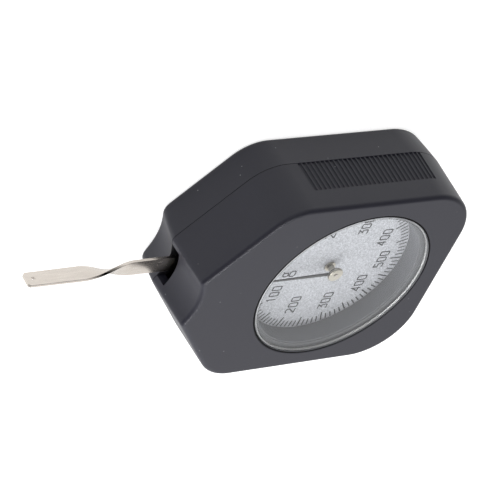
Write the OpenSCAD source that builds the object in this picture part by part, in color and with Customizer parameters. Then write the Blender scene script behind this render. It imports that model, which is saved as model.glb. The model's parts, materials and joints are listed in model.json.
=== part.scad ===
// Dial tension gauge: a two-part moulded case, a round dial under a crystal, and a twisted steel lever that
// works against a spiral spring and turns the pointer through a sector gear and a pinion.
// The gauge lies on its back. The origin is on the dial axis at the back face, +Z is the way the dial looks,
// +Y runs to the tip of the lever and +X is to the right of someone who reads the dial with the lever up.

/* [Case] */
// Width across the parallel sides, at the seam
case_w = 60.6; // [60:0.2:66]
// Thickness from the back face to the front face
case_t = 25.2; // [24.6:0.2:28]
// Height of the seam between the rear cover and the front shell
seam_z = 9.8; // [9.4:0.1:10.2]
// Distance from the dial axis to the rear end, at the seam
rear_reach = 31.5; // [30:0.5:36]
// Distance from the dial axis to the end of the parallel sides
shoulder_y = 28; // [25:0.5:31]
// Distance from the dial axis to the nose
nose_y = 45.8; // [45:0.1:47]
// Width of the nose across its corners
nose_w = 15.4; // [15:0.2:18]
// Corner radius at the rear end
rear_corner_r = 15.7; // [10:0.1:18]
// Corner radius at the shoulders
shoulder_r = 12.8; // [6:0.1:14]
// Corner radius at the nose
nose_r = 3; // [2.8:0.1:3.4]
// Radius of the edges around the front face and the back face
edge_r = 1.2; // [0.6:0.1:1.4]
// Wall thickness of both halves
wall = 2; // [1.6:0.1:2.2]
// Draft of the front shell's walls, in degrees
front_draft = 1.75; // [0.5:0.05:2.5]
// Draft of the rear cover's walls, in degrees
rear_draft = 4.5; // [1:0.1:6]
// Radius of the scoop across the nose, at the seam
scoop_r = 14.5; // [13:0.5:18]
// How far the scoop cuts into the nose, at the seam
scoop_depth = 1.7; // [1:0.1:2]
// How much further the scoop opens towards the back face
scoop_flare = 0.8; // [0:0.1:1]
// Depth of the fine groove along the seam
seam_groove = 0.16; // [0.1:0.02:0.3]

/* [Grip grooves] */
// Length of the grooved panel on each side
grip_len = 38.4; // [24:0.2:42]
// Height of the grooved panel above the seam
grip_h = 9; // [5:0.1:10]
// Number of grooves on each side
grip_count = 28; // [16:1:30]
// Depth of each groove
grip_depth = 0.5; // [0.2:0.05:0.6]

/* [Dial] */
// Radius of the opening in the front face
opening_r = 25; // [24:0.1:26]
// Depth of the recess that holds the crystal
recess_depth = 1.9; // [1.8:0.1:2.2]
// Thickness of the crystal
crystal_t = 1.5; // [1.2:0.1:1.5]
// Width of the ledge that carries the crystal
ledge_w = 2.2; // [1.8:0.1:2.6]
// Width of the seal's rim around the crystal
rim_w = 0.5; // [0.3:0.05:0.6]
// Depth of the dial below the front face
dial_depth = 7; // [6.6:0.1:7.4]
// Thickness of the dial plate
dial_t = 0.8; // [0.5:0.1:1]

/* [Lever] */
// Distance from the dial axis to the axis of the lever shaft
pivot_y = 33; // [32:0.1:34]
// Swing of the lever to each side, in degrees
swing = 12; // [8:0.5:12.5]
// Distance from the dial axis to the tip of the lever
tip_y = 84.8; // [78:0.2:92]
// Height of the middle of the lever above the seam
lever_rise = 1.3; // [1.2:0.1:1.8]
// Thickness of the lever strip
strip_t = 0.8; // [0.5:0.1:1]
// Width of the strip where it leaves the case
root_w = 4.7; // [4.4:0.1:5.4]
// Width of the strip at its tip
tip_w = 3.6; // [3:0.1:4.4]
// Where the twist of the strip starts, from the dial axis
twist_start = 55.5; // [50:0.5:58]
// Length of the twist
twist_len = 14; // [10:0.5:20]
// Radius of the eye in the tip
eye_r = 0.5; // [0.4:0.05:0.8]
// Distance from the end of the strip to the middle of the eye
eye_inset = 2; // [1.4:0.1:3]
// Width of the slot that the lever swings in
slot_w = 11.2; // [11:0.1:11.8]
// Height of the slot above the seam
slot_h = 3.5; // [3.4:0.1:4]

/* [Movement] */
// Teeth on the pinion
pinion_teeth = 12; // [10:1:14]
// Turns of the pointer for each turn of the lever
gear_ratio = 15; // [12:1:15]
// Thickness of the sector gear
sector_t = 1.2; // [0.8:0.1:1.4]
// Thickness of the two movement plates
plate_t = 1.4; // [1:0.1:1.6]
// Radius of the lever shaft
shaft_r = 1.5; // [1.2:0.1:1.6]
// Radius of the lever shaft's pivots
pivot_r = 0.9; // [0.7:0.05:1]
// Radius of the pointer arbor
arbor_r = 0.8; // [0.6:0.05:0.9]
// Height of the main spring's strip
spring_h = 1.8; // [1.2:0.1:1.8]
// Turns of the main spring
spring_turns = 4; // [3:1:5]
// Outer radius of the main spring
spring_r = 7; // [6:0.1:7.2]
// Turns of the hairspring
hair_turns = 5; // [3:1:6]
// Outer radius of the hairspring
hair_r = 5.4; // [4.5:0.1:6]

/* [Fits] */
// Radial clearance of a pivot that turns in its bush
run_fit = 0.04; // [0.02:0.01:0.08]
// Radial clearance between pieces that are fixed together
seat_fit = 0.03; // [0.02:0.01:0.05]
// Radial clearance of the crystal in its seal
crystal_fit = 0.05; // [0.03:0.01:0.1]

/* [Hidden] */
$fn = 96;
// Overlap of pieces that are joined, and how far a cutting tool runs past the face it cuts
eps = 0.01;
cut = 1;

// Heights of the lever and of what it carries
hub_h = 2;
nut_h = 1;
lever_z = seam_z + lever_rise;
strip_z0 = lever_z - strip_t / 2;
strip_z1 = lever_z + strip_t / 2;
nut_z1 = strip_z1 + nut_h;
sector_z1 = strip_z0 - hub_h;
sector_z0 = sector_z1 - sector_t;

// Heights of the spring and the plates
spring_gap = 0.4;
plate_gap = 0.5;
nut_gap = 0.8;
spring_z1 = sector_z0 - spring_gap;
spring_z0 = spring_z1 - spring_h;
bottom_z1 = spring_z0 - plate_gap;
bottom_z0 = bottom_z1 - plate_t;
top_z0 = nut_z1 + nut_gap;
top_z1 = top_z0 + plate_t;

// Heights in the dial well
dial_z1 = case_t - dial_depth;
dial_z0 = dial_z1 - dial_t;
ledge_z = case_t - recess_depth;
seal_t = 0.3;
seal_inset = 0.3;
rim_sink = 0.05;
crystal_z0 = ledge_z + seal_t;
pointer_rise = 2.5;
blade_t = 0.3;
blade_z0 = dial_z1 + pointer_rise;
hub_disc_t = 0.6;
hub_disc_z1 = blade_z0 + blade_t + hub_disc_t;

// Radius of a grip groove as a share of the pitch of the grooves
groove_share = 0.38;

// Dial well and its skirt
well_r = opening_r - ledge_w;
skirt_margin = 1;
skirt_r = opening_r + skirt_margin;
dial_overlap = 1.2;
dial_r = well_r + dial_overlap;
skirt_gap = 0.05;

// Lip of the rear cover that stands inside the front shell's wall
lip_h = 1;
lip_t = 0.9;
lip_gap = 0.12;

// Case screws and their bosses
case_boss_r = 3;
case_boss_wall_gap = 6.4;
case_screw_r = 1.15;
case_head_r = 2.4;
case_head_h = 1.6;
case_head_sink = 0.4;
case_hole_gap = 0.25;
case_screw_bite = 7;

// Slot across a screw head, as shares of the head's radius and height
screw_slot_width = 0.28;
screw_slot_depth = 0.5;

// Places of the case screws
front_boss = [case_w / 2 - case_boss_wall_gap, shoulder_y - case_boss_wall_gap];
rear_boss_inset = [9.4, 10.4];
rear_boss = [case_w / 2 - rear_boss_inset[0], -rear_reach + rear_boss_inset[1]];
boss_places = [for (side = [-1, 1], at = [front_boss, rear_boss]) [side * at[0], at[1]]];

// Plates, pillars and movement screws
pillar_r = 2;
pillar_spigot_r = 1.2;
plate_margin = 3.2;
front_pillar_inset = [13.3, 8];
rear_pillar_inset = [17.3, 19.5];
front_pillar = [case_w / 2 - front_pillar_inset[0], shoulder_y - front_pillar_inset[1]];
rear_pillar = [case_w / 2 - rear_pillar_inset[0], -rear_reach + rear_pillar_inset[1]];
pillar_places = [for (side = [-1, 1], at = [front_pillar, rear_pillar]) [side * at[0], at[1]]];
plate_screw_r = 0.85;
plate_head_r = 1.6;
plate_head_h = 0.9;
plate_screw_bite = 3;
tongue_w = 14;
tongue_reach = 5;
plate_corner_r = 2.5;
side_screw_inset = 14.3;
side_screw_y = 5;
rear_screw_inset = 20.5;
side_screw = [case_w / 2 - side_screw_inset, side_screw_y];
rear_screw = [0, -rear_reach + rear_screw_inset];
movement_places = [rear_screw, [-side_screw[0], side_screw[1]], side_screw];
movement_boss_r = 2.4;
screw_tip_floor = 0.8;
screw_end_gap = 0.4;
foot_r = 1.3;
foot_pin_r = 0.7;
foot_pin_len = 1;
foot_places = [[-11, -3], [11, -3]];

// Bushes
lever_bush_r = 2.2;
pointer_bush_r = 1.5;
bush_top_rise = 0.4;
shoulder_gap = 0.1;

// Lever hub and its rivets
hub_r = 4.6;
rivet_r = 0.6;
rivet_head_r = 0.8;
rivet_head_h = 0.4;
rivet_offset = 3.4;
rivet_places = [[0, pivot_y - rivet_offset], [0, pivot_y + rivet_offset]];
nut_r = 2.5;
shaft_end_rise = 0.3;

// Gear pair: the sector has the teeth of a full wheel of sector_teeth
sector_teeth = pinion_teeth * gear_ratio;
gear_module = 2 * pivot_y / (pinion_teeth + sector_teeth);
pressure_angle = 25;
addendum = 0.9 * gear_module;
dedendum = 1.1 * gear_module;
backlash = 0.05;
pinion_over = 0.5;
sector_tooth_deg = 360 / sector_teeth;
sector_spare_teeth = 2;
sector_side_teeth = ceil(swing / sector_tooth_deg) + sector_spare_teeth;
sector_half_deg = (sector_side_teeth + 0.5) * sector_tooth_deg;
sector_rim = 2.4;
sector_arm_deg = 4;

// Stop pins beside the sector
stop_r = 0.8;
stop_reach = 22;
stop_spare_deg = 0.3;
stop_deg = sector_half_deg + swing + stop_spare_deg + asin(stop_r / stop_reach);
stop_at = [stop_reach * sin(stop_deg), pivot_y - stop_reach * cos(stop_deg)];
stop_places = [for (side = [-1, 1]) [side * stop_at[0], stop_at[1]]];
stop_rise = 0.3;

// Springs
collet_wall = 1;
collet_r = shaft_r + collet_wall;
spring_t = 0.45;
spring_end_gap = 0.05;
stud_r = 0.9;
hair_t = 0.12;
hair_h = 0.8;
hair_collet_wall = 0.8;
hair_collet_r = arbor_r + hair_collet_wall;
hair_collet_h = 1.2;
hair_z0 = lever_z - hair_h / 2;
hair_collet_z0 = hair_z0 - (hair_collet_h - hair_h) / 2;
hair_stud_r = 0.6;
hair_end_deg = 200;
spring_end_deg = 250;

// Pointer
arbor_tip_r = 0.5;
arbor_tip_rise = 0.15;
pointer_tip_gap = 1.4;
pointer_len = well_r - pointer_tip_gap;
pointer_root_w = 0.95;
pointer_tip_w = 0.35;
pointer_eye_r = 1.9;
pointer_hub_r = 2.1;
pointer_stem_r = 0.95;
stem_gap = 0.3;

// Case colours
shell_grey = [0.20, 0.20, 0.22];
steel = [0.72, 0.71, 0.69];
brass = [0.75, 0.62, 0.35];
nickel = [0.70, 0.67, 0.60];

// How far a drafted wall has moved in at height z
function wall_inset(z) =
    z > seam_z ? (z - seam_z) * tan(front_draft) : (seam_z - z) * tan(rear_draft);

// Corners of the case at the seam as [x, y, radius], each arc tangent to the sides that meet there
slope = [nose_w / 2 - case_w / 2, nose_y - shoulder_y];
slope_turn = atan2(-slope[0], slope[1]);
nose_turn = 90 - slope_turn;
shoulder_tangent = shoulder_r * tan(slope_turn / 2);
nose_tangent = nose_r * tan(nose_turn / 2);
side_corners = [
    [case_w / 2 - rear_corner_r, -rear_reach + rear_corner_r, rear_corner_r],
    [case_w / 2 - shoulder_r, shoulder_y - shoulder_tangent, shoulder_r],
    [nose_w / 2 - nose_tangent, nose_y - nose_r, nose_r]
];
corners = [for (side = [-1, 1], c = side_corners) [side * c[0], c[1], c[2]]];
scoop_y = nose_y - scoop_depth + scoop_r;

// Solid with the case's plan from the lowest to the highest level, each level being [z, inset]
module case_prism(levels) {
    hull()
        for (c = corners)
            translate([c[0], c[1], 0])
                rotate_extrude($fn = 48)
                    polygon(concat(
                        [[0, levels[0][0]]],
                        [for (level = levels) [max(c[2] - level[1], 0.02), level[0]]],
                        [[0, levels[len(levels) - 1][0]]]
                    ));
}

// Levels of the rounded edge at height z, going up (side = 1) to the front face or down to the back face
edge_steps = 5;
function edge_levels(z, side) = [
    for (i = [0 : edge_steps])
        let (a = 90 * i / edge_steps)
        [z + side * edge_r * (sin(a) - 1), wall_inset(z) + edge_r * (1 - cos(a))]
];
function reversed(list) = [for (i = [len(list) - 1 : -1 : 0]) list[i]];
front_levels = concat(
    [[seam_z, seam_groove], [seam_z + seam_groove, 0]],
    edge_levels(case_t, 1)
);
rear_levels = concat(
    reversed(edge_levels(0, -1)),
    [[seam_z - seam_groove, 0], [seam_z, seam_groove]]
);

// Extra opening of the scoop below the seam
function flare_at(z) = z < seam_z ? scoop_flare * (seam_z - z) / seam_z : 0;

// Tool that scoops the nose between two heights, with the walls' draft and flared edges, grown by a wall
module scoop_tool(levels, grow) {
    first = levels[0][0];
    last = levels[len(levels) - 1][0];
    translate([0, scoop_y, 0])
        rotate_extrude()
            polygon(concat(
                [[0, first]],
                [for (level = levels) [scoop_r + level[1] + flare_at(level[0]) + grow, level[0]]],
                [[0, last]]
            ));
}

// The same levels run past both ends
function over(levels) = concat(
    [[levels[0][0] - cut, levels[0][1]]],
    levels,
    [[levels[len(levels) - 1][0] + cut, levels[len(levels) - 1][1]]]
);

// Round post between two heights, optionally hollow
module post(r, z0, z1, bore = 0) {
    translate([0, 0, z0])
        difference() {
            cylinder(r = r, h = z1 - z0);
            if (bore > 0) translate([0, 0, -cut]) cylinder(r = bore, h = z1 - z0 + 2 * cut);
        }
}

module at_each(places) {
    for (p = places) translate([p[0], p[1], 0]) children();
}

// Headed screw that points down from the top of its head, with a slot across the head
module screw(head_r, head_h, shank_r, length, head_z0) {
    slot_width = head_r * screw_slot_width;
    difference() {
        union() {
            translate([0, 0, head_z0]) cylinder(r = head_r, h = head_h);
            translate([0, 0, head_z0 - length]) cylinder(r = shank_r, h = length + eps);
        }
        translate([-head_r, -slot_width / 2, head_z0 + head_h * (1 - screw_slot_depth)])
            cube([2 * head_r, slot_width, head_h]);
    }
}

module front_shell() {
    roof_z = case_t - wall;
    cavity_levels = [[seam_z - cut, wall], [roof_z, wall + wall_inset(roof_z)]];
    color(shell_grey)
        difference() {
            union() {
                difference() {
                    case_prism(front_levels);
                    difference() {
                        case_prism(cavity_levels);
                        scoop_tool([[seam_z - 2 * cut, 0], [case_t, wall_inset(case_t)]], wall);
                    }
                }
                post(skirt_r, dial_z1 + skirt_gap, roof_z + eps);
                at_each(boss_places) post(case_boss_r, seam_z, roof_z + eps);
            }
            scoop_tool(over(front_levels), 0);
            translate([0, 0, ledge_z]) cylinder(r = opening_r, h = recess_depth + cut);
            translate([0, 0, dial_z1 - cut]) cylinder(r = well_r, h = dial_depth);
            translate([-slot_w / 2, pivot_y + spring_r, seam_z - cut])
                cube([slot_w, nose_y - pivot_y, slot_h + cut]);
            at_each(boss_places)
                translate([0, 0, seam_z - cut])
                    cylinder(r = case_screw_r + seat_fit, h = cut + case_screw_bite + screw_end_gap);
            grip_grooves();
        }
}

// Round-bottomed upright grooves in both sides, leaning with the draft of the walls
module grip_grooves() {
    pitch = grip_len / grip_count;
    groove_r = pitch * groove_share;
    for (side = [-1, 1], i = [0 : grip_count - 1])
        translate([side * (case_w / 2 + groove_r - grip_depth), (i + 0.5) * pitch - grip_len / 2, seam_z])
            rotate([0, -side * front_draft, 0])
                translate([0, 0, -cut]) cylinder(r = groove_r, h = grip_h + cut, $fn = 24);
}

module rear_cover() {
    floor_z = wall;
    case_hole_r = case_screw_r + case_hole_gap;
    head_hole_r = case_head_r + case_hole_gap;
    inner = wall + lip_gap + lip_t;
    cavity_levels = [[floor_z, inner + wall_inset(floor_z)], [seam_z, inner], [seam_z + lip_h + cut, inner]];
    color(shell_grey)
        difference() {
            union() {
                difference() {
                    union() {
                        case_prism(rear_levels);
                        intersection() {
                            case_prism([[seam_z - lip_h, wall + lip_gap], [seam_z + lip_h, wall + lip_gap]]);
                            translate([-case_w, -rear_reach, 0])
                                cube([2 * case_w, rear_reach + pivot_y, case_t]);
                        }
                    }
                    difference() {
                        case_prism(cavity_levels);
                        scoop_tool([[-cut, wall_inset(0)], [seam_z, 0], [seam_z + lip_h + 2 * cut, 0]], wall);
                    }
                }
                at_each(boss_places) post(case_boss_r, floor_z - eps, seam_z - skirt_gap);
                at_each(movement_places) post(movement_boss_r, floor_z - eps, bottom_z0);
            }
            scoop_tool(over(rear_levels), 0);
            at_each(boss_places) {
                translate([0, 0, -cut]) cylinder(r = case_hole_r, h = seam_z + 2 * cut);
                translate([0, 0, -cut]) cylinder(r = head_hole_r, h = cut + case_head_sink + case_head_h);
            }
            at_each(movement_places)
                translate([0, 0, screw_tip_floor]) cylinder(r = plate_screw_r + seat_fit, h = bottom_z0);
        }
}

module crystal() {
    r = opening_r - rim_w - crystal_fit;
    bevel = 0.25;
    z1 = crystal_z0 + crystal_t;
    color([0.85, 0.9, 0.92, 0.35])
        rotate_extrude()
            polygon([[0, crystal_z0], [r, crystal_z0], [r, z1 - bevel], [r - bevel, z1], [0, z1]]);
}

// Flat ring under the crystal, with a rim that stands around the crystal's edge
module crystal_seal() {
    inner_r = well_r + seal_inset;
    rim_r = opening_r - rim_w;
    outer_r = opening_r - seat_fit;
    rim_z = case_t - rim_sink;
    color([0.08, 0.08, 0.08])
        rotate_extrude()
            polygon([
                [inner_r, ledge_z], [outer_r, ledge_z], [outer_r, rim_z], [rim_r, rim_z], [rim_r, crystal_z0],
                [inner_r, crystal_z0]
            ]);
}

module dial_plate() {
    color([0.80, 0.80, 0.82])
        post(dial_r, dial_z0, dial_z1, pointer_bush_r + seat_fit);
}

module dial_feet() {
    color(brass)
        at_each(foot_places) {
            post(foot_r, top_z1, dial_z0);
            post(foot_pin_r, top_z1 - foot_pin_len, top_z1 + eps);
        }
}

// Upper bearing of the pointer arbor, whose end shows as a collar at the middle of the dial
module dial_bush() {
    color(nickel)
        post(pointer_bush_r, top_z0, dial_z1 + bush_top_rise, arbor_r + run_fit);
}

// Plan of both movement plates, rounded at its corners by taking the tangent arcs at each point
plate_points = [
    [-rear_pillar[0] - plate_margin, rear_pillar[1] - plate_margin],
    [rear_pillar[0] + plate_margin, rear_pillar[1] - plate_margin],
    [front_pillar[0] + plate_margin, side_screw[1]],
    [front_pillar[0] + plate_margin, front_pillar[1] + plate_margin / 2],
    [tongue_w / 2, pivot_y + tongue_reach],
    [-tongue_w / 2, pivot_y + tongue_reach],
    [-front_pillar[0] - plate_margin, front_pillar[1] + plate_margin / 2],
    [-front_pillar[0] - plate_margin, side_screw[1]]
];
function unit(v) = v / norm(v);
function corner_arc(before, at, after, r) =
    let (
        u = unit(before - at),
        v = unit(after - at),
        half = acos(u * v) / 2,
        centre = at + unit(u + v) * r / sin(half),
        a0 = at + u * r / tan(half) - centre,
        a1 = at + v * r / tan(half) - centre,
        from = atan2(a0[1], a0[0]),
        turn = atan2(a0[0] * a1[1] - a0[1] * a1[0], a0 * a1)
    )
    [for (i = [0 : 6]) centre + r * [cos(from + turn * i / 6), sin(from + turn * i / 6)]];
function rounded(points, r) =
    let (count = len(points))
    [
        for (i = [0 : count - 1])
            each corner_arc(points[(i + count - 1) % count], points[i], points[(i + 1) % count], r)
    ];

module movement_plate(z0) {
    translate([0, 0, z0]) linear_extrude(plate_t) polygon(rounded(plate_points, plate_corner_r));
}

module bore_each(places, r, z0, z1) {
    at_each(places) translate([0, 0, z0 - cut]) cylinder(r = r, h = z1 - z0 + 2 * cut);
}

module top_plate() {
    color(brass)
        difference() {
            movement_plate(top_z0);
            bore_each([[0, 0]], pointer_bush_r + seat_fit, top_z0, top_z1);
            bore_each([[0, pivot_y]], lever_bush_r + seat_fit, top_z0, top_z1);
            bore_each(pillar_places, plate_screw_r + seat_fit, top_z0, top_z1);
            bore_each(foot_places, foot_pin_r + seat_fit, top_z0, top_z1);
            bore_each([hair_stud_at], hair_stud_r + seat_fit, top_z0, top_z1);
        }
}

module bottom_plate() {
    color(brass)
        difference() {
            movement_plate(bottom_z0);
            bore_each([[0, 0]], pointer_bush_r + seat_fit, bottom_z0, bottom_z1);
            bore_each([[0, pivot_y]], lever_bush_r + seat_fit, bottom_z0, bottom_z1);
            bore_each(pillar_places, pillar_spigot_r + seat_fit, bottom_z0, bottom_z1);
            bore_each(movement_places, plate_screw_r + seat_fit, bottom_z0, bottom_z1);
            bore_each(stop_places, stop_r + seat_fit, bottom_z0, bottom_z1);
            bore_each([spring_stud_at], stud_r + seat_fit, bottom_z0, bottom_z1);
        }
}

module pillars() {
    color(steel)
        at_each(pillar_places)
            difference() {
                union() {
                    post(pillar_r, bottom_z1, top_z0);
                    post(pillar_spigot_r, bottom_z0, bottom_z1 + eps);
                }
                translate([0, 0, top_z0 - plate_screw_bite - screw_end_gap])
                    cylinder(r = plate_screw_r + seat_fit, h = plate_screw_bite + screw_end_gap + cut);
            }
}

module plate_screws() {
    color(steel)
        at_each(pillar_places)
            screw(plate_head_r, plate_head_h, plate_screw_r, plate_t + plate_screw_bite, top_z1);
}

module movement_screws() {
    length = bottom_z1 - screw_tip_floor - screw_end_gap;
    color(steel)
        at_each(movement_places)
            screw(plate_head_r, plate_head_h, plate_screw_r, length, bottom_z1);
}

module case_screws() {
    length = seam_z + case_screw_bite - case_head_sink - case_head_h;
    color(steel)
        at_each(boss_places)
            translate([0, 0, case_head_sink + case_head_h])
                mirror([0, 0, 1]) screw(case_head_r, case_head_h, case_screw_r, length, 0);
}

module lever_bushes() {
    color(brass)
        translate([0, pivot_y, 0])
            for (z = [bottom_z0, top_z0]) post(lever_bush_r, z, z + plate_t, pivot_r + run_fit);
}

module pointer_bush() {
    color(brass)
        post(pointer_bush_r, bottom_z0, bottom_z1, arbor_tip_r + run_fit);
}

module stop_pins() {
    color(steel)
        at_each(stop_places) post(stop_r, bottom_z0, sector_z1 + stop_rise);
}

// Flat strip wound into a spiral from an inner to an outer radius, ending at a given direction
module spiral(r0, r1, turns, thick, height, end_deg) {
    steps = 28 * turns;
    turn = 360 * turns;
    function edge(i, side) =
        let (a = end_deg - turn + turn * i / steps, r = r0 + (r1 - r0) * i / steps + side * thick / 2)
        [r * cos(a), r * sin(a)];
    linear_extrude(height)
        polygon(concat([for (i = [0 : steps]) edge(i, 1)], [for (i = [steps : -1 : 0]) edge(i, -1)]));
}

spring_stud_reach = spring_r + spring_t / 2 + spring_end_gap + stud_r;
spring_stud_at = [spring_stud_reach * cos(spring_end_deg), pivot_y + spring_stud_reach * sin(spring_end_deg)];
hair_stud_reach = hair_r + hair_t / 2 + spring_end_gap + hair_stud_r;
hair_stud_at = [hair_stud_reach * cos(hair_end_deg), hair_stud_reach * sin(hair_end_deg)];

module main_spring() {
    inner = collet_r + spring_end_gap + spring_t / 2;
    color([0.35, 0.38, 0.45])
        translate([0, pivot_y, spring_z0])
            spiral(inner, spring_r, spring_turns, spring_t, spring_h, spring_end_deg);
}

module spring_stud() {
    color(steel)
        at_each([spring_stud_at]) post(stud_r, bottom_z0, spring_z1);
}

module hairspring() {
    inner = hair_collet_r + spring_end_gap + hair_t / 2;
    color([0.35, 0.38, 0.45])
        translate([0, 0, hair_z0])
            spiral(inner, hair_r, hair_turns, hair_t, hair_h, hair_end_deg);
}

module hairspring_stud() {
    color(brass)
        at_each([hair_stud_at]) post(hair_stud_r, hair_z0, top_z1);
}

// Lever strip: half width and turn of the section at a distance y from the dial axis
strip_start = pivot_y - hub_r;
twist_ease = 0.6;
function strip_half_w(y) = (root_w + (tip_w - root_w) * (y - nose_y) / (tip_y - nose_y)) / 2;
function strip_turn(y) =
    let (t = min(1, max(0, (y - twist_start) / twist_len)))
    90 * ((1 - twist_ease) * t + twist_ease * t * t * (3 - 2 * t));
function strip_section(y) =
    let (w = strip_half_w(y), a = strip_turn(y))
    [for (corner = [[-w, -strip_t / 2], [w, -strip_t / 2], [w, strip_t / 2], [-w, strip_t / 2]])
        [corner[0] * cos(a) - corner[1] * sin(a), y, lever_z + corner[0] * sin(a) + corner[1] * cos(a)]];

module lever_strip() {
    twist_steps = 24;
    stations = concat(
        [strip_start],
        [for (i = [0 : twist_steps]) twist_start + twist_len * i / twist_steps],
        [tip_y]
    );
    last = len(stations) - 1;
    points = [for (y = stations) each strip_section(y)];
    sides = [
        for (i = [0 : last - 1], k = [0 : 3])
            let (a = 4 * i + k, b = 4 * i + (k + 1) % 4)
            each [[a, b, b + 4], [a, b + 4, a + 4]]
    ];
    tip = 4 * last;
    ends = [[0, 3, 2], [0, 2, 1], [tip, tip + 1, tip + 2], [tip, tip + 2, tip + 3]];
    polyhedron(points, concat(sides, ends));
}

module lever_arm() {
    color(steel)
        difference() {
            lever_strip();
            bore_each([[0, pivot_y]], shaft_r + seat_fit, strip_z0, strip_z1);
            bore_each(rivet_places, rivet_r + seat_fit, strip_z0, strip_z1);
            translate([0, tip_y - eye_inset, lever_z])
                rotate([0, 90, 0]) cylinder(r = eye_r, h = strip_t + 2 * cut, center = true);
        }
}

module lever_shaft() {
    color(steel)
        translate([0, pivot_y, 0]) {
            post(shaft_r, bottom_z1 + shoulder_gap, nut_z1 + shaft_end_rise);
            post(pivot_r, bottom_z0, top_z1);
        }
}

module lever_hub() {
    color(brass)
        difference() {
            translate([0, pivot_y, 0]) post(hub_r, sector_z1, strip_z0, shaft_r + seat_fit);
            bore_each(rivet_places, rivet_r + seat_fit, sector_z1, strip_z0);
        }
}

module lever_rivets() {
    color(steel)
        at_each(rivet_places) {
            post(rivet_r, sector_z0, strip_z1 + eps);
            post(rivet_head_r, strip_z1, strip_z1 + rivet_head_h);
        }
}

module lever_nut() {
    color(steel)
        translate([0, pivot_y, strip_z1])
            difference() {
                cylinder(r = nut_r, h = nut_h, $fn = 6);
                translate([0, 0, -cut]) cylinder(r = shaft_r + seat_fit, h = nut_h + 2 * cut);
            }
}

module spring_collet() {
    color(brass)
        translate([0, pivot_y, 0]) post(collet_r, spring_z0, sector_z0, shaft_r + seat_fit);
}

// Involute tooth: polar angle of its flank at radius r, in degrees from the tooth's middle
function involute(a) = tan(a) * 180 / PI - a;
function flank_deg(r, teeth) =
    let (
        pitch_r = teeth * gear_module / 2,
        base_r = pitch_r * cos(pressure_angle),
        half = 90 / teeth - backlash / 2 / pitch_r * 180 / PI
    )
    half + involute(pressure_angle) - involute(acos(base_r / max(r, base_r)));
function polar(r, a) = [r * cos(a), r * sin(a)];
function tooth(teeth, middle) =
    let (
        pitch_r = teeth * gear_module / 2,
        steps = 5,
        radii = [for (i = [0 : steps]) pitch_r - dedendum + (addendum + dedendum) * i / steps]
    )
    concat(
        [for (r = radii) polar(r, middle - flank_deg(r, teeth))],
        [for (i = [steps : -1 : 0]) polar(radii[i], middle + flank_deg(radii[i], teeth))]
    );

module sector_gear() {
    root_r = sector_teeth * gear_module / 2 - dedendum;
    rim_r = root_r - sector_rim;
    first = -90 - sector_half_deg;
    outline = concat(
        [polar(rim_r, first), polar(root_r, first)],
        [for (i = [-sector_side_teeth : sector_side_teeth])
            each tooth(sector_teeth, -90 + i * sector_tooth_deg)],
        [polar(root_r, -first - 180), polar(rim_r, -first - 180)],
        [for (i = [sector_side_teeth : -1 : -sector_side_teeth]) polar(rim_r, -90 + i * sector_tooth_deg)]
    );
    arms = [for (side = [-1, 1]) side * (sector_half_deg - sector_arm_deg)];
    color(brass)
        translate([0, pivot_y, sector_z0])
            difference() {
                union() {
                    linear_extrude(sector_t) polygon(outline);
                    cylinder(r = hub_r, h = sector_t);
                    for (a = arms)
                        rotate(a - 90)
                            translate([0, -sector_rim / 2, 0])
                                cube([rim_r + sector_rim / 2, sector_rim, sector_t]);
                }
                translate([0, 0, -cut]) cylinder(r = shaft_r + seat_fit, h = sector_t + 2 * cut);
                for (side = [-1, 1])
                    translate([0, side * rivet_offset, -cut])
                        cylinder(r = rivet_r + seat_fit, h = sector_t + 2 * cut);
            }
}

module pinion() {
    tooth_deg = 360 / pinion_teeth;
    outline = [for (i = [0 : pinion_teeth - 1]) each tooth(pinion_teeth, 90 + (i + 0.5) * tooth_deg)];
    height = sector_t + 2 * pinion_over;
    color(steel)
        translate([0, 0, sector_z0 - pinion_over])
            difference() {
                linear_extrude(height) polygon(outline);
                translate([0, 0, -cut]) cylinder(r = arbor_r + seat_fit, h = height + 2 * cut);
            }
}

module pointer_arbor() {
    color(steel) {
        post(arbor_r, bottom_z1 + shoulder_gap, dial_z1 + bush_top_rise + stem_gap / 2);
        post(arbor_tip_r, bottom_z0, hub_disc_z1 + arbor_tip_rise);
    }
}

module hairspring_collet() {
    color(brass)
        post(hair_collet_r, hair_collet_z0, hair_collet_z0 + hair_collet_h, arbor_r + seat_fit);
}

module pointer() {
    color([0.25, 0.25, 0.27])
        translate([0, 0, blade_z0])
            difference() {
                union() {
                    cylinder(r = pointer_eye_r, h = blade_t);
                    linear_extrude(blade_t)
                        polygon([
                            [-pointer_root_w / 2, 0], [pointer_root_w / 2, 0],
                            [pointer_tip_w / 2, pointer_len], [-pointer_tip_w / 2, pointer_len]
                        ]);
                }
                translate([0, 0, -cut]) cylinder(r = pointer_stem_r + seat_fit, h = blade_t + 2 * cut);
            }
}

module pointer_hub() {
    color(nickel)
        difference() {
            union() {
                post(pointer_stem_r, dial_z1 + bush_top_rise + stem_gap, hub_disc_z1);
                post(pointer_hub_r, blade_z0 + blade_t, hub_disc_z1);
            }
            bore_each([[0, 0]], arbor_tip_r + seat_fit, dial_z1, hub_disc_z1);
        }
}

front_shell();
rear_cover();
crystal();
crystal_seal();
dial_plate();
dial_feet();
dial_bush();
top_plate();
bottom_plate();
pillars();
plate_screws();
movement_screws();
case_screws();
lever_bushes();
pointer_bush();
stop_pins();
main_spring();
spring_stud();
hairspring();
hairspring_stud();
lever_arm();
lever_shaft();
lever_hub();
sector_gear();
lever_rivets();
spring_collet();
lever_nut();
pointer();
pointer_hub();
pointer_arbor();
pinion();
hairspring_collet();
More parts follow.
